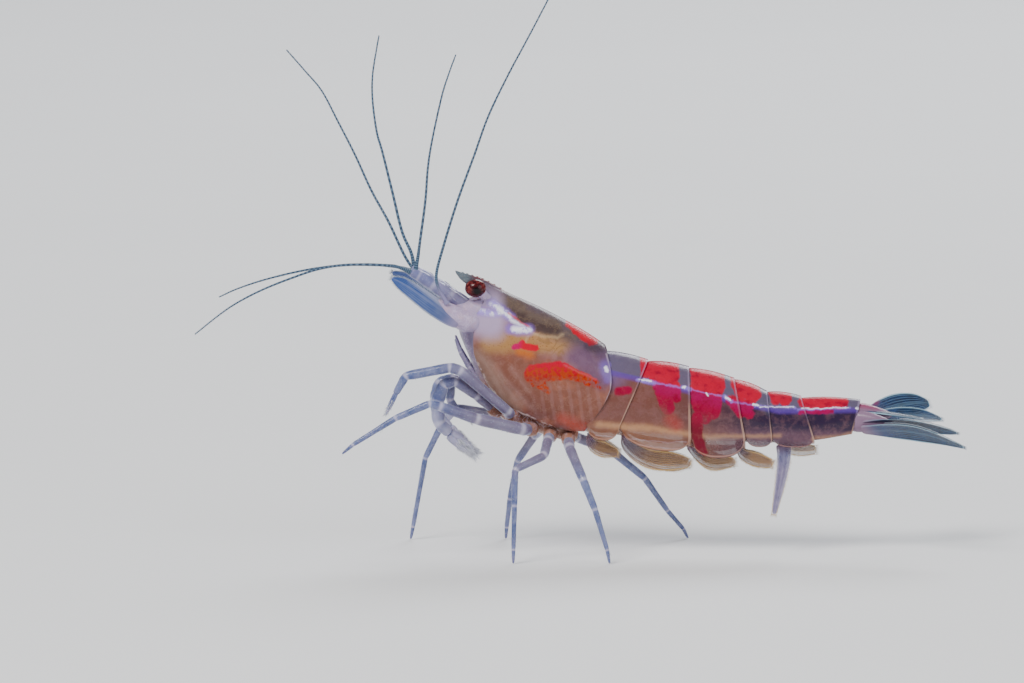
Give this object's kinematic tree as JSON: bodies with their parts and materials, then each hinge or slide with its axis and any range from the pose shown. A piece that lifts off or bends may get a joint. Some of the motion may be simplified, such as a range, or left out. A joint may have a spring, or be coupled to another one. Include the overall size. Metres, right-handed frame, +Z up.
{
  "type": "freshwater dwarf shrimp",
  "caption": "Life-size still model of a red-patched dwarf freshwater shrimp standing with its forelegs raised, long feelers spread and tail fan open.",
  "frame": {"origin": "bottom centre of the bounding box, on the ground between the feet", "axes": "+Z up, the head points along -X, the animal's left side is -Y"},
  "size_m": [0.0402, 0.0148, 0.0319],
  "materials": {
    "shell": "translucent pinkish-tan shell with lavender sheen and saturated red patches, wet gloss",
    "skin": "pale lavender-white translucent flesh, wet gloss",
    "limb": "translucent blue-lavender with whitish joints",
    "feeler": "fine ringed pale grey-blue filament",
    "swimmeret": "thin translucent brown-lavender blade with a golden edge",
    "fan": "thin clear blue-grey blade with pale ribs",
    "eye": "polished dark maroon with an orange-brown rim"
  },
  "bodies": {
    "root": {"carapace": "shell", "sternum": "skin", "abdomen_1": "shell", "abdomen_2": "shell", "abdomen_3": "shell", "abdomen_4": "shell", "abdomen_5": "shell", "abdomen_6": "shell", "telson": "fan", "eye_left": "eye", "eyestalk_left": "skin", "eye_right": "eye", "eyestalk_right": "skin", "antennule_left": "limb", "antenna_base_left": "skin", "antenna_scale_left": "limb", "antennule_right": "limb", "antenna_base_right": "skin", "antenna_scale_right": "limb", "mouthparts": "skin", "maxilliped_left": "limb", "maxilliped_right": "limb", "antenna_flagellum_left": "feeler", "antenna_flagellum_right": "feeler", "antennule_lower_flagellum_left": "feeler", "antennule_lower_flagellum_right": "feeler", "antennule_upper_flagellum_left": "feeler", "antennule_upper_flagellum_right": "feeler", "leg_1_left": "limb", "leg_2_left": "limb", "leg_3_left": "limb", "leg_4_left": "limb", "leg_5_left": "limb", "leg_1_right": "limb", "leg_2_right": "limb", "leg_3_right": "limb", "leg_4_right": "limb", "leg_5_right": "limb", "swimmeret_1_left": "swimmeret", "swimmeret_2_left": "swimmeret", "swimmeret_3_left": "swimmeret", "swimmeret_4_left": "swimmeret", "swimmeret_5_left": "swimmeret", "swimmeret_1_right": "swimmeret", "swimmeret_2_right": "swimmeret", "swimmeret_3_right": "swimmeret", "swimmeret_4_right": "swimmeret", "swimmeret_5_right": "swimmeret", "uropod_inner_left": "fan", "uropod_outer_left": "fan", "uropod_inner_right": "fan", "uropod_outer_right": "fan"}
  },
  "joints": []
}
